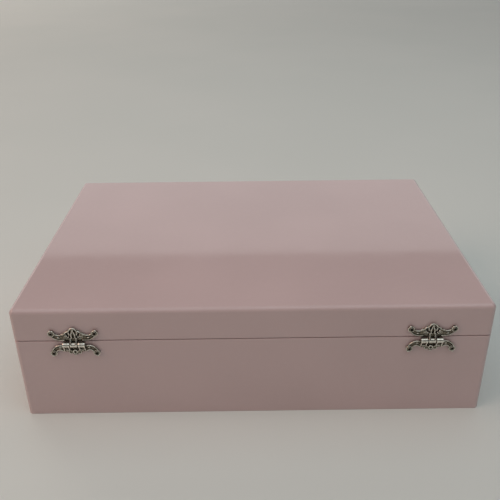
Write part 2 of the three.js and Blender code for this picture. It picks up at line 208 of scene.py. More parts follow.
def bare_board():
    """Raw fibreboard: short fibres of several browns."""
    m = Nodes("bare_board")
    fibre = m.noise(1400, 4, 0.7, (1, 0.25, 1))
    cloud = m.noise(25, 2)
    tone = m.mix(m.remap(fibre, 0.3, 0.7, 0, 1), (0.30, 0.19, 0.11, 1), (0.45, 0.31, 0.19, 1))
    tone = m.mix(m.remap(cloud, 0.3, 0.8, 0, 0.4), tone, (0.36, 0.25, 0.17, 1))
    return m.finish(Base_Color=tone, Roughness=0.85, Normal=m.bump(fibre, 0.3, 0.0001))


def velvet(name, dark, light):
    """Short-pile velvet: patches where the nap lies one way or the other, and a sheen at the edges."""
    m = Nodes(name)
    nap = m.noise(16, 3, 0.55, (1, 1.8, 1))
    pile = m.noise(2600, 2)
    tone = m.mix(m.remap(nap, 0.3, 0.7, 0, 1), dark, light)
    tone = m.mix(m.remap(pile, 0.3, 0.7, 0, 0.35), tone, tuple(0.7 * c for c in dark[:3]) + (1,))
    m.shader.inputs["Sheen Weight"].default_value = 0.6
    m.shader.inputs["Sheen Roughness"].default_value = 0.35
    m.shader.inputs["Sheen Tint"].default_value = light
    normal = m.bump(nap, 0.15, 0.0004, m.bump(pile, 0.35, 0.00015))
    return m.finish(Base_Color=tone, Roughness=0.95, Normal=normal)


def antique_nickel():
    """Antiqued plating: black in the hollows of the casting, worn bright on its high spots."""
    m = Nodes("antique_nickel")
    relief = m.tree.nodes.new("ShaderNodeAttribute")
    relief.attribute_name = "relief"
    grime = m.math("MULTIPLY", m.math("SUBTRACT", m.noise(900, 4, 0.6), 0.5), 0.12)
    level = m.math("ADD", relief.outputs["Fac"], grime)
    worn = m.remap(level, 0.01, 0.15, 0, 1)
    tone = m.mix(m.remap(level, -0.08, 0.05, 0, 1), (0.015, 0.012, 0.009, 1), (0.24, 0.21, 0.16, 1))
    tone = m.mix(worn, tone, (0.88, 0.85, 0.77, 1))
    rough = m.remap(level, -0.1, 0.2, 0.5, 0.14)
    grain = m.bump(m.noise(2500, 2), 0.25, 0.00005)
    return m.finish(Base_Color=tone, Metallic=1.0, Roughness=rough, Normal=grain)


def dull_steel(name, recess_shade_radius):
    """Plated steel with fine scratches, and painted shade, near black, within a distance of the piece's own
    axis.
    """
    m = Nodes(name)
    scratch = m.noise(3000, 3, 0.6, (1, 6, 1))
    tone = m.mix(m.remap(scratch, 0.35, 0.7, 0, 1), (0.16, 0.15, 0.12, 1), (0.5, 0.47, 0.4, 1))
    axes = m.tree.nodes.new("ShaderNodeSeparateXYZ")
    m.link(m.place, axes.inputs["Vector"])
    squares = [m.math("POWER", axes.outputs[axis], 2) for axis in ("X", "Y")]
    reach = m.math("SQRT", m.math("ADD", *squares))
    # Painted shade: near black towards the axis, standing in for the shade in a screw head's cross recess.
    unshaded = m.remap(reach, 0.5 * recess_shade_radius, recess_shade_radius, 0, 1)
    tone = m.mix(unshaded, (0.02, 0.017, 0.012, 1), tone)
    rough = m.remap(scratch, 0.3, 0.7, 0.42, 0.26)
    return m.finish(Base_Color=tone, Metallic=1.0, Roughness=rough, Normal=m.bump(scratch, 0.2, 0.00004))


PAINT = pink_paint()
BOARD = bare_board()
LINING = velvet("ivory_velvet", (0.68, 0.585, 0.485, 1), (0.77, 0.68, 0.575, 1))
ROLLS = velvet("roll_velvet", (0.72, 0.63, 0.53, 1), (0.80, 0.715, 0.61, 1))
NICKEL = antique_nickel()
# The second value is how far the painted shade reaches from each piece's axis.
SCREW_STEEL = dull_steel("screw_steel", 1.15 * MM)
PIN_STEEL = dull_steel("pin_steel", 0.3 * MM)


# ---- Making pieces ------------------------------------------------------------------------


def add_piece(name, mesh, material, body, slot, *nodes, place=None):
    """Links a mesh as a piece that rides on a body, and stands for the CAD nodes named."""
    piece = bpy.data.objects.new(name, mesh)
    bpy.context.scene.collection.objects.link(piece)
    if place is not None:
        piece.matrix_world = place
    if not mesh.materials:
        mesh.materials.append(material)
    if nodes:
        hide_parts(*nodes)
    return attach(piece, body)


def to_mesh(bm, name):
    bmesh.ops.recalc_face_normals(bm, faces=bm.faces)
    mesh = bpy.data.meshes.new(name)
    bm.to_mesh(mesh)
    bm.free()
    return mesh


def apply_modifiers(piece):
    graph = bpy.context.evaluated_depsgraph_get()
    mesh = bpy.data.meshes.new_from_object(piece.evaluated_get(graph))
    piece.modifiers.clear()
    piece.data = mesh


def smooth(piece, sharp_degrees=40):
    """Smooth shading in which the large flat faces stay flat and the true corners stay sharp."""
    piece.data.shade_smooth()
    piece.data.set_sharp_from_angle(angle=math.radians(sharp_degrees))
    modifier = piece.modifiers.new("weighted_normals", "WEIGHTED_NORMAL")
    modifier.keep_sharp = True
    return piece


def soften(piece):
    piece.data.shade_smooth()
    return piece


# ---- Painted boards -----------------------------------------------------------------------
# An outline is a ring of (x, y, inward x, inward y). The inward part says how its edge rounds.


def arc(centre_x, centre_y, start_degrees):
    """A quarter circle of an upright corner, run counter-clockwise."""
    points = []
    for i in range(ARC_STEPS + 1):
        angle = math.radians(start_degrees + 90 * i / ARC_STEPS)
        c, s = math.cos(angle), math.sin(angle)
        points.append((centre_x + CORNER_RADIUS * c, centre_y + CORNER_RADIUS * s, -c, -s))
    return points


def turned(outline):
    """The same outline, turned half a turn about the box's middle."""
    return [tuple(-value for value in point) for point in outline]


def long_wall_outline():
    """The rear wall from above: a straight board whose outer corners are rounded."""
    cx, cy = half_width - CORNER_RADIUS, half_depth - CORNER_RADIUS
    inner = [
        (-half_width, inside_y, 1, 0),
        (-inside_x, inside_y, 0, 0),
        (-inside_x, inside_y, 0, 1),
        (inside_x, inside_y, 0, 1),
        (inside_x, inside_y, 0, 0),
        (half_width, inside_y, -1, 0),
    ]
    return inner + arc(cx, cy, 0) + arc(-cx, cy, 90)


def right_wall_outline():
    return [
        (inside_x, -inside_y, 1, 0),
        (half_width, -inside_y, -1, 0),
        (half_width, inside_y, -1, 0),
        (inside_x, inside_y, 1, 0),
    ]


def lid_outline():
    cx, cy = half_width - CORNER_RADIUS, half_depth - CORNER_RADIUS
    return arc(cx, cy, 0) + arc(-cx, cy, 90) + arc(-cx, -cy, 180) + arc(cx, -cy, 270)


def levels(low, high, low_round, high_round, steps=4):
    """(height, inset) up the side of a board with rounded lower and upper edges."""
    found = []
    for i in range(steps + 1 if low_round else 1):
        angle = math.pi / 2 * i / steps if low_round else 0
        found.append((low + low_round * (1 - math.cos(angle)), low_round * (1 - math.sin(angle))))
    for i in range(steps + 1 if high_round else 1):
        angle = math.pi / 2 * i / steps if high_round else 0
        rise = high_round * (1 - math.sin(angle))
        found.append((high - rise, high_round * (1 - math.cos(angle))))
    return found


def board_mesh(name, outline, heights):
    """A board with flat ends, from an outline and the (height, inset) levels of its side."""
    bm = bmesh.new()
    rows = []
    for z, inset in heights:
        rows.append([bm.verts.new((x + dx * inset, y + dy * inset, z)) for x, y, dx, dy in outline])
    for low, high in zip(rows, rows[1:]):
        for i, j in zip(range(-1, len(low) - 1), range(len(low))):
            bm.faces.new((low[i], low[j], high[j], high[i]))
    bm.faces.new(list(reversed(rows[0])))
    bm.faces.new(rows[-1])
    bmesh.ops.remove_doubles(bm, verts=bm.verts, dist=1e-7)
    bmesh.ops.dissolve_degenerate(bm, edges=bm.edges, dist=1e-8)
    return to_mesh(bm, name)


def add_painted_walls():
    """The four walls of each half. The halves' edges are softened where they meet."""
    outlines = {
        "rear": long_wall_outline(),
        "front": turned(long_wall_outline()),
        "right": right_wall_outline(),
        "left": turned(right_wall_outline()),
    }
    rounds = {"base": (FOOT_ROUND, RIM_ROUND), "lid": (RIM_ROUND, 0)}
    for body, (low_round, high_round) in rounds.items():
        for side, outline in outlines.items():
            node = f"{body}_{side}_wall"
            low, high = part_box(node)
            heights = levels(low.z, high.z, low_round, high_round)
            mesh = board_mesh(node, outline, heights)
            smooth(add_piece(f"{node}_painted", mesh, PAINT, body, "pink_paint", node))


def add_lid_top():
    low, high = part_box("lid_top_board")
    heights = levels(low.z, high.z, 0, EDGE_RADIUS, 12)
    mesh = board_mesh("lid_top", lid_outline(), heights)
    smooth(add_piece("lid_top_board_painted", mesh, PAINT, "lid", "pink_paint", "lid_top_board"))


def rounded_box_mesh(name, low, high, radius, segments=4):
    bm = bmesh.new()
    size = high - low
    matrix = Matrix.Translation((low + high) / 2) @ Matrix.Diagonal((*size, 1))
    bmesh.ops.create_cube(bm, size=1, matrix=matrix)
    bmesh.ops.bevel(
        bm, geom=list(bm.edges), offset=radius, segments=segments, profile=0.5, affect="EDGES"
    )
    return to_mesh(bm, name)


def add_floor_board():
    low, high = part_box("base_floor_board")
    mesh = rounded_box_mesh("floor_board", low, high, BOARD_ROUND, 2)
    smooth(add_piece("base_floor_board_raw", mesh, BOARD, "base", "bare_board", "base_floor_board"))


# ---- Velvet inside ------------------------------------------------------------------------


def add_linings():
    for side in ("floor", "front", "rear", "left", "right"):
        node = f"lining_{side}"
        mesh = rounded_box_mesh(node, *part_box(node), VELVET_ROUND)
        smooth(add_piece(f"{node}_velvet", mesh, LINING, "base", "velvet", node))


def cut_slot(piece, low, high):
    """Cuts a box out of a piece."""
    bm = bmesh.new()
    matrix = Matrix.Translation((low + high) / 2) @ Matrix.Diagonal((*(high - low), 1))
    bmesh.ops.create_cube(bm, size=1, matrix=matrix)
    cutter = bpy.data.objects.new("cutter", to_mesh(bm, "cutter"))
    bpy.context.scene.collection.objects.link(cutter)
    modifier = piece.modifiers.new("slot", "BOOLEAN")
    modifier.object = cutter
    modifier.solver = "EXACT"
    apply_modifiers(piece)
    bpy.data.objects.remove(cutter)


def add_dividers():
    """Velvet-wrapped boards with rounded tops. The cross ones are half-lapped over the rear one."""
    rear_low, rear_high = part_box("divider_long_rear")
    half_lap = (rear_low.z + rear_high.z) / 2
    crossings = [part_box(f"divider_cross_{i}") for i in (1, 2, 3)]
    for row in ("front", "rear"):
        node = f"divider_long_{row}"
        mesh = rounded_box_mesh(node, *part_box(node), DIVIDER_ROUND, 5)
        piece = add_piece(f"{node}_velvet", mesh, LINING, "base", "velvet", node)
        for low, high in crossings if row == "rear" else []:
            start = Vector((low.x - DIVIDER_FIT, rear_low.y - MM, half_lap))
            cut_slot(piece, start, Vector((high.x + DIVIDER_FIT, rear_high.y + MM, high.z + MM)))
        smooth(piece)
    for i, (low, high) in enumerate(crossings, 1):
        node = f"divider_cross_{i}"
        mesh = rounded_box_mesh(node, low, high, DIVIDER_ROUND, 5)
        piece = add_piece(f"{node}_velvet", mesh, LINING, "base", "velvet", node)
        start = Vector((low.x - MM, rear_low.y - DIVIDER_FIT, low.z - MM))
        cut_slot(piece, start, Vector((high.x + MM, rear_high.y + DIVIDER_FIT, half_lap)))
        smooth(piece)


def add_ring_bed():
    mesh = rounded_box_mesh("ring_bed", *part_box("ring_bed"), BED_ROUND, 5)
    piece = add_piece("ring_bed_covered", mesh, ROLLS, "base", "foam", "ring_bed")
    smooth(piece)


def add_ring_roll(node, seed):
    """A velvet tube filled with foam, with soft ends and small dents along it."""
    low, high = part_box(node)
    centre = (low + high) / 2
    radius = (high.z - low.z) / 2
    around = 40
    along = 150
    bm = bmesh.new()
    rows = []
    for i in range(along + 1):
        t = i / along
        x = low.x + (high.x - low.x) * (0.5 - 0.5 * math.cos(math.pi * t))
        to_end = min(x - low.x, high.x - x)
        shrink = 0.0
        if to_end < ROLL_ROUND:
            shrink = ROLL_ROUND - math.sqrt(ROLL_ROUND**2 - (ROLL_ROUND - to_end) ** 2)
        row = []
        for j in range(around):
            angle = 2 * math.pi * j / around
            place = Vector((x * 35, math.cos(angle) * 1.2, math.sin(angle) * 1.2 + seed))
            dent = ROLL_DENT * (0.5 + 0.5 * noise.noise(place))
            r = radius - shrink - dent
            row.append(bm.verts.new((x, centre.y + r * math.cos(angle), centre.z + r * math.sin(angle))))
        rows.append(row)
    for near, far in zip(rows, rows[1:]):
        for j in range(around):
            k = (j + 1) % around
            bm.faces.new((near[j], near[k], far[k], far[j]))
    bm.faces.new(rows[0])
    bm.faces.new(rows[-1])
    piece = add_piece(f"{node}_velvet", to_mesh(bm, node), ROLLS, "base", "velvet", node)
    soften(piece)


# ---- The lid's padded panel ---------------------------------------------------------------


def swell(piece, voxel, pressure, limit, glued_above):
    """Inflates a closed piece by cloth simulation. What is above glued_above stays where it is, and
    no point moves further than limit.
    """
    remesh = piece.modifiers.new("remesh", "REMESH")
    remesh.mode = "VOXEL"
    remesh.voxel_size = voxel
    apply_modifiers(piece)
    rest = [v.co.copy() for v in piece.data.vertices]
    glued = piece.vertex_groups.new(name="glued")
    glued.add([i for i, place in enumerate(rest) if place.z > glued_above], 1, "REPLACE")
    cloth = piece.modifiers.new("cloth", "CLOTH")
    cloth.settings.vertex_group_mass = "glued"
    cloth.settings.use_pressure = True
    cloth.settings.uniform_pressure_force = pressure
    cloth.settings.effector_weights.gravity = 0
    scene = bpy.context.scene
    for step in range(1, 21):
        scene.frame_set(step)
    apply_modifiers(piece)
    scene.frame_set(1)
    for vertex, start in zip(piece.data.vertices, rest):
        move = vertex.co - start
        if move.length > limit:
            vertex.co = start + move * (limit / move.length)


def add_lid_pad():
    """A padded velvet panel, flat against the lid's board and crowned below."""
    low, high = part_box("lid_pad")
    inset = Vector((PAD_INSET, PAD_INSET, 0))
    start_low = low + inset + Vector((0, 0, PAD_CROWN_ROOM))
    mesh = rounded_box_mesh("lid_pad", start_low, high - inset, PAD_ROUND, 3)
    piece = add_piece("lid_pad_velvet", mesh, LINING, "lid", "velvet", "lid_pad")
    swell(piece, voxel=0.0035, pressure=4, limit=0.006, glued_above=high.z - PAD_GLUED)
    for vertex in piece.data.vertices:
        vertex.co.x = min(max(vertex.co.x, low.x), high.x)
        vertex.co.y = min(max(vertex.co.y, low.y), high.y)
        vertex.co.z = min(vertex.co.z, high.z)
    piece.data.materials.clear()
    piece.data.materials.append(LINING)
    soften(piece)
    divide = piece.modifiers.new("subdivision", "SUBSURF")
    divide.levels = 1
    divide.render_levels = 1


# ---- Castings -----------------------------------------------------------------------------


def smooth_path(points, step):
    """Points at about the given spacing along a curve through the given ones."""
    padded = [points[0], *points, points[-1]]
    path = []
    for a, b, c, d in zip(padded, padded[1:], padded[2:], padded[3:]):
        a, b, c, d = (Vector(p) for p in (a, b, c, d))
        count = max(1, math.ceil((c - b).length / step))
        for i in range(count):
            t = i / count
            path.append(
                0.5 * (2 * b + (c - a) * t + (2 * a - 5 * b + 4 * c - d) * t * t)
                + 0.5 * (3 * b - a - 3 * c + d) * t**3
            )
    path.append(Vector(points[-1]))
    return path


def shifted(path, start, end, height):
    """A flat path moved sideways by an offset that runs from start to end, and set at a height."""
    moved = []
    for i, point in enumerate(path):
        before, after = path[max(i - 1, 0)], path[min(i + 1, len(path) - 1)]
        along = (after - before).normalized()
        offset = start + (end - start) * i / (len(path) - 1)
        moved.append(Vector((point.x - offset * along.y, point.y + offset * along.x, height)))
    return moved


def template(create, **options):
    """The points and triangles of a primitive, to be copied many times."""
    bm = bmesh.new()
    create(bm, **options)
    bmesh.ops.triangulate(bm, faces=bm.faces)
    bm.verts.index_update()
    points = np.array([v.co[:] for v in bm.verts])
    corners = np.array([[v.index for v in f.verts] for f in bm.faces])
    bm.free()
    return points, corners


BALL = template(bmesh.ops.create_uvsphere, u_segments=14, v_segments=8, radius=1)
CUBE = template(bmesh.ops.create_cube, size=1)
DRUM = template(bmesh.ops.create_cone, cap_ends=True, segments=40, radius1=1, radius2=1, depth=1)


def create_tube(bm, bore, segments):
    """A tube along Z, of radius 1 and length 1."""
    rings = []
    for radius, height in ((1, -0.5), (1, 0.5), (bore, 0.5), (bore, -0.5)):
        angles = [2 * math.pi * i / segments for i in range(segments)]
        rings.append([bm.verts.new((radius * math.cos(a), radius * math.sin(a), height)) for a in angles])
    for ring, following in zip(rings, rings[1:] + rings[:1]):
        for i in range(segments):
            j = (i + 1) % segments
            bm.faces.new((ring[i], ring[j], following[j], following[i]))


TUBE = template(create_tube, bore=BORE / KNUCKLE, segments=40)


def mark_relief(mesh):
    """Stores how much each point stands out of its surroundings and of the face, for the patina."""
    count = len(mesh.vertices)
    points = np.empty(3 * count)
    normals = np.empty(3 * count)
    ends = np.empty(2 * len(mesh.edges), dtype=int)
    mesh.vertices.foreach_get("co", points)
    mesh.vertices.foreach_get("normal", normals)
    mesh.edges.foreach_get("vertices", ends)
    points = points.reshape(-1, 3)
    near, far = ends[0::2], ends[1::2]
    degree = np.bincount(ends, minlength=count)
    blurred = points
    for _ in range(RELIEF_PASSES):
        sums = [
            np.bincount(near, blurred[far, k], count) + np.bincount(far, blurred[near, k], count)
            for k in range(3)
        ]
        blurred = np.stack(sums, axis=1) / degree[:, None]
    height = ((points - blurred) * normals.reshape(-1, 3)).sum(axis=1)
    height += PROUD_WEAR * (points[:, 2] - RELIEF_MIDDLE)
    mesh.attributes.new("relief", "FLOAT", "POINT").data.foreach_set("value", height)


class Casting:
    """Overlapping solids in millimetres on a face of the box, fused into one worn casting."""

    def __init__(self):
        self.points = []
        self.corners = []
        self.count = 0

    def add(self, shape, matrix):
        points, corners = shape
        turn = np.array(matrix.to_3x3())
        self.points.append(points @ turn.T + np.array(matrix.translation))
        self.corners.append(corners + self.count)
        self.count += len(points)

    def blob(self, place, radii, turn=0):
        matrix = Matrix.Translation(place) @ Matrix.Rotation(math.radians(turn), 4, "Z")
        self.add(BALL, matrix @ Matrix.Diagonal((*radii, 1)))

    def rib(self, points, start, end, flat=1.0):
        """A rib along a curve, whose radius runs from start to end. flat scales its height."""
        self.beads(smooth_path(points, BEAD_STEP), start, end, flat)

    def beads(self, path, start, end, flat=1.0):
        for i, place in enumerate(path):
            radius = start + (end - start) * i / max(len(path) - 1, 1)
            self.blob(place, (radius, radius, radius * flat))

    def ring(self, x, y, z, major, minor, flat=1.0):
        count = math.ceil(2 * math.pi * major / BEAD_STEP)
        for i in range(count):
            angle = 2 * math.pi * i / count
            place = (x + major * math.cos(angle), y + major * math.sin(angle), z)
            self.blob(place, (minor, minor, minor * flat))

    def slab(self, low, high):
        low, high = Vector(low), Vector(high)
        self.add(CUBE, Matrix.Translation((low + high) / 2) @ Matrix.Diagonal((*(high - low), 1)))

    def coin(self, x, y, radius, low, high):
        matrix = Matrix.Translation((x, y, (low + high) / 2))
        self.add(DRUM, matrix @ Matrix.Diagonal((radius, radius, high - low, 1)))

    def rod(self, x0, x1, y, z, radius, shape=DRUM):
        matrix = Matrix.Translation(((x0 + x1) / 2, y, z)) @ Matrix.Rotation(math.pi / 2, 4, "Y")
        self.add(shape, matrix @ Matrix.Diagonal((radius, radius, x1 - x0, 1)))

    def clamp(self, low, high):
        """Flattens everything made so far between two distances from the face."""
        for points in self.points:
            points[:, 2] = points[:, 2].clip(low, high)

    def scale(self, factor, flip):
        """Scales the outline, and turns it upside down where flip is -1."""
        for points in self.points:
            points[:, 0] *= factor * flip
            points[:, 1] *= factor * flip

    def mesh(self, name):
        mesh = bpy.data.meshes.new(name)
        mesh.from_pydata(np.concatenate(self.points), [], np.concatenate(self.corners))
        return mesh

    def fuse(self, name, place, body, node):
        """Fuses the solids, and puts the casting on its face of the box."""
        piece = add_piece(name, self.mesh(name), NICKEL, body, "cast_nickel", node)
        remesh = piece.modifiers.new("remesh", "REMESH")
        remesh.mode = "VOXEL"
        remesh.voxel_size = VOXEL
        relax = piece.modifiers.new("relax", "SMOOTH")
        relax.factor = 0.5
        relax.iterations = 3
        apply_modifiers(piece)
        mark_relief(piece.data)
        piece.data.transform(place)
        piece.data.materials.clear()
        piece.data.materials.append(NICKEL)
        return soften(piece)


def on_face(rear, across, height):
    """From a fitting's millimetres to the box: the middle of the fitting's pin line is at across."""
    side = 1 if rear else -1
    turn = Matrix(((-side, 0, 0, across), (0, 0, side, side * half_depth), (0, 1, 0, height), (0, 0, 0, 1)))
    return turn @ Matrix.Diagonal((MM, MM, MM, 1))


def arms(casting, points, widths):
    """Both arms: a sunk web between two ribs, ending in a round ear with a raised, notched ring."""
    start, end = widths
    ear_x, ear_y = points[-1]
    for side in (-1, 1):
        path = smooth_path([(side * x, y, 0.75) for x, y in points], BEAD_STEP)
        casting.beads(path, start, end, 0.36)
        for edge in (-1, 1):
            ridge = shifted(path, edge * (start - 0.4), edge * (end - 0.35), 1.25)
            casting.beads(ridge, 0.5, 0.42, 1.15)
        casting.blob((side * points[1][0], points[1][1], 1.45), (1.0, 0.38, 0.6), side * 12)
        casting.coin(side * ear_x, ear_y, 2.05, SEAT, 1.3)
        casting.ring(side * ear_x, ear_y, 1.35, 1.8, 0.42)
        casting.blob((side * (ear_x + 0.5), ear_y + 1.9, 1.5), (0.8, 0.6, 0.5))


def scroll(casting, x, y, side):
    """A raised spiral that winds in to a round boss."""
    coil = []
    for i in range(22):
        angle = math.radians(200 + 22 * i)
        size = 1.75 - 0.065 * i
        coil.append(Vector((side * (x + size * math.cos(angle)), y + size * math.sin(angle), 1.35)))
    casting.beads(coil, 0.45, 0.35)
    casting.blob((side * x, y, 1.55), (0.95, 0.85, 0.7))


def palmette(ear):
    """The upper plate: a rimmed pediment of petals over a bar, a scroll each side, and two arms."""
    casting = Casting()
    # A dark sheet sunk behind the bar: painted shade that fills the gap above the outer knuckles.
    casting.slab((-BAR_HALF, SHADE_SHEET_START, SEAT), (BAR_HALF, BAR_END, SHADE_SHEET_FRONT))
    casting.slab((-BAR_HALF, BAR_START, SEAT), (BAR_HALF, BAR_END - 0.6, 1.25))
    for x, y, radius in ((0, 9.4, 2.3), (2.6, 7.9, 2.2), (4.9, 6.5, 1.9), (0, 6.4, 3.0)):
        for side in (-1, 1):
            casting.blob((side * x, y, 0.3), (radius, radius, 0.5))
    for side in (-1, 1):
        rim = [(0, 11.5), (1.6, 11.0), (2.7, 9.5), (4.4, 8.7), (5.4, 7.6), (7.2, 7.1)]
        casting.rib([(side * x, y, 1.3) for x, y in rim], 0.52, 0.45)
        casting.rib([(side * 1.0, 4.6, 1.4), (side * 1.15, 6.8, 1.5), (side * 0.5, 8.8, 1.5)], 0.5, 0.42)
        casting.rib([(side * 2.3, 6.9, 1.2), (side * 2.6, 8.2, 1.3)], 0.5, 0.6)
        scroll(casting, 4.7, 5.9, side)
    casting.blob((0, 10.2, 1.5), (0.75, 1.0, 0.55))
    arms(casting, [(6.0, 5.0), (9.3, 4.9), (11.6, 5.8), ear], (2.3, 1.5))
    casting.clamp(SEAT, RELIEF)
    return casting


def trefoil(ear, notch):
    """The lower plate: three petals under a bar, a small eye, and two arms like a yoke."""
    casting = Casting()
    # A dark sheet sunk behind the bar: painted shade in the bar's notch and in the gap to the knuckles.
    casting.slab((-BAR_HALF, SHADE_SHEET_START, SEAT), (BAR_HALF, BAR_END, SHADE_SHEET_FRONT))
    for side in (-1, 1):
        inner = 2.4 if notch else 0
        edges = sorted((side * inner, side * BAR_HALF))
        casting.slab((edges[0], BAR_START, SEAT), (edges[1], BAR_END - 0.5, 1.2))
        casting.blob((side * 2.7, 6.1, 0.6), (1.7, 1.6, 0.8))
        casting.ring(side * 2.8, 6.2, 1.1, 1.0, 0.4)
        casting.blob((side * 5.1, 5.0, 0.8), (1.3, 1.1, 0.8))
        casting.blob((side * 9.0, 2.2, 1.1), (1.2, 0.7, 0.8), side * -15)
        casting.rib([(side * 2.9, 4.0, 1.3), (side * 4.6, 4.4, 1.4), (side * 7.2, 3.8, 1.3)], 0.45, 0.45)
    casting.blob((0, 7.2, 0.6), (1.7, 1.6, 0.8))
    casting.blob((0, 8.0, 1.25), (1.0, 0.6, 0.6))
    casting.coin(0, 5.6, 2.2, SEAT, 0.7)
    casting.ring(0, 5.9, 1.25, 1.2, 0.45)
    arms(casting, [(6.0, 3.6), (9.0, 2.7), (11.3, 3.4), (12.8, 4.9), ear], (2.1, 1.5))
    casting.clamp(SEAT, RELIEF)
    return casting


def knuckle(casting, x0, x1, flip):
    """A barrel round the pin, and the sunk strap with raised edges that leads to it."""
    casting.rod(x0, x1, 0, AXIS_OUT, KNUCKLE * 0.93, TUBE)
    casting.rod(x0 + 0.55, x1 - 0.55, 0, AXIS_OUT, KNUCKLE, TUBE)
    for start, end, front in ((0.0, 3.6, 1.3), (0.9, 1.7, 2.0)):
        low, high = sorted((flip * start, flip * end))
        casting.slab((x0, low, 0.65), (x1, high, front))
    for x in (x0 + 0.5, x1 - 0.5):
        path = [(4.4, 1.6), (2.6, 2.3), (1.4, 3.0), (0.6, 3.4)]
        casting.rib([(x, flip * away, out) for away, out in path], 0.5, 0.45)


def centre(node):
    """The middle of a CAD node's box."""
    low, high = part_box(node)
    return (low + high) / 2


def ear_of(screw_node, across, height, scale=1):
    """Where a plate's ear lies, in millimetres before scaling, from the screw that holds it."""
    screw = centre(screw_node)
    return abs(screw.x - across) / (MM * scale), abs(screw.z - height) / (MM * scale)


def add_hinge(name):
    """One rear hinge. The middle knuckle turns with the lid, and the outer two stay on the base."""
    pin = centre(f"{name}_pin")
    place = on_face(True, pin.x, pin.z)

    upper = palmette(ear_of(f"{name}_screw_upper_1", pin.x, pin.z))
    knuckle(upper, -MIDDLE_HALF, MIDDLE_HALF, 1)
    upper.fuse(f"{name}_upper_leaf_cast", place, "lid", f"{name}_upper_leaf")

    lower = trefoil(ear_of(f"{name}_screw_lower_1", pin.x, pin.z), True)
    lower.scale(1, -1)
    knuckle(lower, -OUTER_END, -OUTER_START, -1)
    knuckle(lower, OUTER_START, OUTER_END, -1)
    lower.fuse(f"{name}_lower_leaf_cast", place, "base", f"{name}_lower_leaf")


def add_hasp(place):
    """The hanging hasp: a neck, an open window that drops over the stud, and a grip at its foot."""
    hasp = Casting()
    hasp.slab((-MIDDLE_HALF, -4.0, 2.1), (MIDDLE_HALF, -1.1, 2.95))
    hasp.blob((0, -4.6, 2.5), (3.0, 1.3, 0.5))
    window = [(-2.5, -5.4), (2.5, -5.4), (2.9, -STUD_DROP), (2.5, -11.0), (-2.5, -11.0), (-2.9, -STUD_DROP)]
    window.append(window[0])
    hasp.rib([(x, y, 2.55) for x, y in window], 0.75, 0.75, 0.8)
    for x, y, radius in ((0, -12.2, 1.5), (-1.9, -11.4, 1.2), (1.9, -11.4, 1.2)):
        hasp.blob((x, y, 2.5), (radius, radius, 0.6))
    hasp.blob((0, -3.9, 2.9), (0.9, 1.2, 0.45))
    hasp.clamp(2.05, 3.3)
    hasp.rib([(-1.3, -13.0, 3.1), (0, -13.2, 3.15), (1.3, -13.0, 3.1)], 0.6, 0.6)
    hasp.rod(-MIDDLE_HALF, MIDDLE_HALF, 0, AXIS_OUT, KNUCKLE, TUBE)
    hasp.fuse("latch_hasp_cast", place, "hasp", "latch_hasp")


def add_latch():
    """The front latch: a plate with a hanging hasp, and the catch plate whose stud it drops over."""
    pin = centre("latch_pin")
    place = on_face(False, pin.x, pin.z)
    plate = palmette(ear_of("latch_screw_1", pin.x, pin.z, LATCH_SCALE))
    plate.scale(LATCH_SCALE, 1)
    knuckle(plate, -OUTER_END, -OUTER_START, 1)
    knuckle(plate, OUTER_START, OUTER_END, 1)
    plate.fuse("latch_plate_cast", place, "lid", "latch_plate")
    add_hasp(place)

    seam = (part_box("base_front_wall")[1].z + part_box("lid_front_wall")[0].z) / 2
    catch_height = seam - CATCH_BELOW_SEAM * MM
    stud = (pin.z - catch_height) / MM - STUD_DROP
    catch = trefoil(ear_of("catch_screw_1", pin.x, catch_height, LATCH_SCALE), False)
    catch.scale(LATCH_SCALE, -1)
    catch.slab((-1.3, stud - 1.0, SEAT), (1.3, stud + 1.0, 3.85))
    catch.slab((-1.3, stud - 1.5, 3.3), (1.3, stud, 3.85))
    catch.fuse("catch_plate_cast", on_face(False, pin.x, catch_height), "base", "catch_plate")


# ---- Screws and pins ----------------------------------------------------------------------


def turned_mesh(name, profile, segments=36):
    """A solid of revolution about Z from (radius, height) points that start and end on the axis."""
    bm = bmesh.new()
    ends = [bm.verts.new((0, 0, profile[0][1])), bm.verts.new((0, 0, profile[-1][1]))]
    rows = []
    for radius, height in profile[1:-1]:
        angles = [2 * math.pi * i / segments for i in range(segments)]
        rows.append([bm.verts.new((radius * math.cos(a), radius * math.sin(a), height)) for a in angles])
    for i in range(segments):
        j = (i + 1) % segments
        bm.faces.new((ends[0], rows[0][j], rows[0][i]))
        bm.faces.new((ends[1], rows[-1][i], rows[-1][j]))
        for low, high in zip(rows, rows[1:]):
            bm.faces.new((low[i], low[j], high[j], high[i]))
    return to_mesh(bm, name)


def screw_mesh():
    """A small round-headed screw with a cross recess, its head's seat at Z = 0."""
    head, brim = SCREW_HEAD_RADIUS, 0.2
    profile = [(0, -SCREW_LENGTH), (SCREW_SHANK_RADIUS, SCREW_POINT - SCREW_LENGTH)]
    profile += [(SCREW_SHANK_RADIUS, 0), (head * 0.96, 0), (head, 0.08)]
    for i in range(9):
        angle = math.pi / 2 * i / 9
        profile.append((head * math.cos(angle), brim + (SCREW_HEAD - brim) * math.sin(angle)))
    profile.append((0, SCREW_HEAD))
    profile = [(radius * MM, height * MM) for radius, height in profile]
    screw = bpy.data.objects.new("screw", turned_mesh("screw", profile))
    bpy.context.scene.collection.objects.link(screw)
    for x, y in ((RECESS_ARM, RECESS_HALF), (RECESS_HALF, RECESS_ARM)):
        cut_slot(screw, MM * Vector((-x, -y, RECESS_FLOOR)), MM * Vector((x, y, 2 * SCREW_HEAD)))
    mesh = screw.data
    bpy.data.objects.remove(screw)
    mesh.materials.clear()
    return mesh


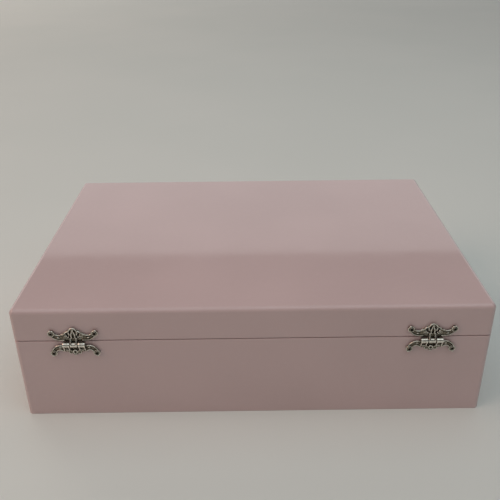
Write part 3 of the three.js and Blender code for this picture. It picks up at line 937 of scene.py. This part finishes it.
def add_screws():
    """Every screw, each stopped at its own angle as a hand-driven one is."""
    mesh = screw_mesh()
    nodes = sorted(n for n in frame["nodes"] if "screw" in n)
    for i, node in enumerate(nodes):
        low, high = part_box(node)
        rear = low.y > 0
        seat = high.y - SCREW_HEAD * MM if rear else low.y + SCREW_HEAD * MM
        place = Matrix.Translation(((low.x + high.x) / 2, seat, (low.z + high.z) / 2))
        turn = Matrix.Rotation(math.radians(-90 if rear else 90), 4, "X")
        spin = Matrix.Rotation(math.radians(37 * i), 4, "Z")
        body = frame["nodes"][node]["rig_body"]
        place = place @ turn @ spin
        smooth(add_piece(f"{node}_steel", mesh, SCREW_STEEL, body, "steel", node, place=place))


def add_pins():
    """The pins of the hinges and of the latch, with ends peened into low domes."""
    for node, body in (("hinge_left_pin", "base"), ("hinge_right_pin", "base"), ("latch_pin", "lid")):
        low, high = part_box(node)
        radius = (high.z - low.z) / 2
        half = (high.x - low.x) / 2
        dome = PIN_DOME * MM
        profile = [(0, -half), (radius * 0.6, -half + dome * 0.3), (radius, -half + dome)]
        profile += [(radius, half - dome), (radius * 0.6, half - dome * 0.3), (0, half)]
        mesh = turned_mesh(node, profile, 24)
        mesh.transform(Matrix.Translation((low + high) / 2) @ Matrix.Rotation(math.pi / 2, 4, "Y"))
        smooth(add_piece(f"{node}_steel", mesh, PIN_STEEL, body, "steel", node))


# ---- Stage, light and camera --------------------------------------------------------------


def stage_material():
    m = Nodes("pale_floor")
    cloud = m.noise(3, 2)
    tone = m.mix(m.remap(cloud, 0.3, 0.7, 0, 1), (0.70, 0.72, 0.68, 1), (0.72, 0.735, 0.695, 1))
    return m.finish(Base_Color=tone, Roughness=0.7)


def add_stage():
    bpy.ops.mesh.primitive_plane_add(size=24)
    floor = bpy.context.object
    floor.name = "floor"
    floor.data.materials.append(stage_material())
    world = bpy.data.worlds.new("studio")
    bpy.context.scene.world = world
    world.use_nodes = True
    background = world.node_tree.nodes["Background"]
    background.inputs["Color"].default_value = (0.95, 1.0, 1.0, 1)
    background.inputs["Strength"].default_value = 0.09


def add_softbox(name, place, target, size, power, colour, seen_in_gloss=True):
    light = bpy.data.lights.new(name, "AREA")
    light.shape = "RECTANGLE"
    light.size, light.size_y = size
    light.energy = power
    light.color = colour
    softbox = bpy.data.objects.new(name, light)
    bpy.context.scene.collection.objects.link(softbox)
    softbox.location = place
    softbox.rotation_euler = (Vector(target) - Vector(place)).to_track_quat("-Z", "Y").to_euler()
    softbox.visible_camera = False
    softbox.visible_glossy = seen_in_gloss


def add_lights():
    """Soft light from the left of the rear view and from above, a lamp over the far floor, and a low
    card beyond the box.
    """
    add_softbox("warm_side", (1.5, 0.5, 1.3), (0, 0, 0), (1.4, 1.4), 12.8, (1.0, 0.7, 0.58))
    add_softbox("front", (-0.4, 1.0, 1.8), (0, 0, 0), (3.0, 1.6), 11.7, (0.97, 0.98, 1.0))
    add_softbox("overhead", (0, -0.1, 1.9), (0, -0.1, 0), (2.0, 2.0), 8.6, (0.8, 0.95, 1.0))
    add_softbox("far_floor", (1.5, -2.0, 1.6), (1.2, -1.9, 0), (1.5, 1.2), 11.5, (1.0, 0.84, 0.74), False)
    add_softbox("card", (0, -3.2, 0.92), (0, 0, 0.92), (14, 1.72), 52, (1.0, 0.99, 0.99))


CAMERA_OFFSET = Vector((0.0024, 0.3317, 0.2929))  # from the foot of the rear wall's middle
CAMERA_TURNS = (27.385, 0.186, -0.626)  # degrees down, to the left and clockwise
LENS = 46.26


def add_camera():
    data = bpy.data.cameras.new("camera")
    data.sensor_width = 36
    data.lens = LENS
    camera = bpy.data.objects.new("camera", data)
    bpy.context.scene.collection.objects.link(camera)
    down, yaw, roll = (math.radians(value) for value in CAMERA_TURNS)
    turn = Matrix.Rotation(math.pi - yaw, 4, "Z") @ Matrix.Rotation(math.pi / 2 - down, 4, "X")
    turn = turn @ Matrix.Rotation(roll, 4, "Z")
    camera.matrix_world = Matrix.Translation(Vector((0, half_depth, 0)) + CAMERA_OFFSET) @ turn
    bpy.context.scene.camera = camera


# ---- The scene ----------------------------------------------------------------------------

bpy.context.scene.view_settings.view_transform = "Standard"
add_camera()
add_lights()
add_stage()
add_painted_walls()
add_lid_top()
add_floor_board()
add_linings()
add_dividers()
add_ring_bed()
for number in (1, 2, 3, 4):
    add_ring_roll(f"ring_roll_{number}", 7 * number)
add_lid_pad()
add_hinge("hinge_left")
add_hinge("hinge_right")
add_latch()
add_screws()
add_pins()
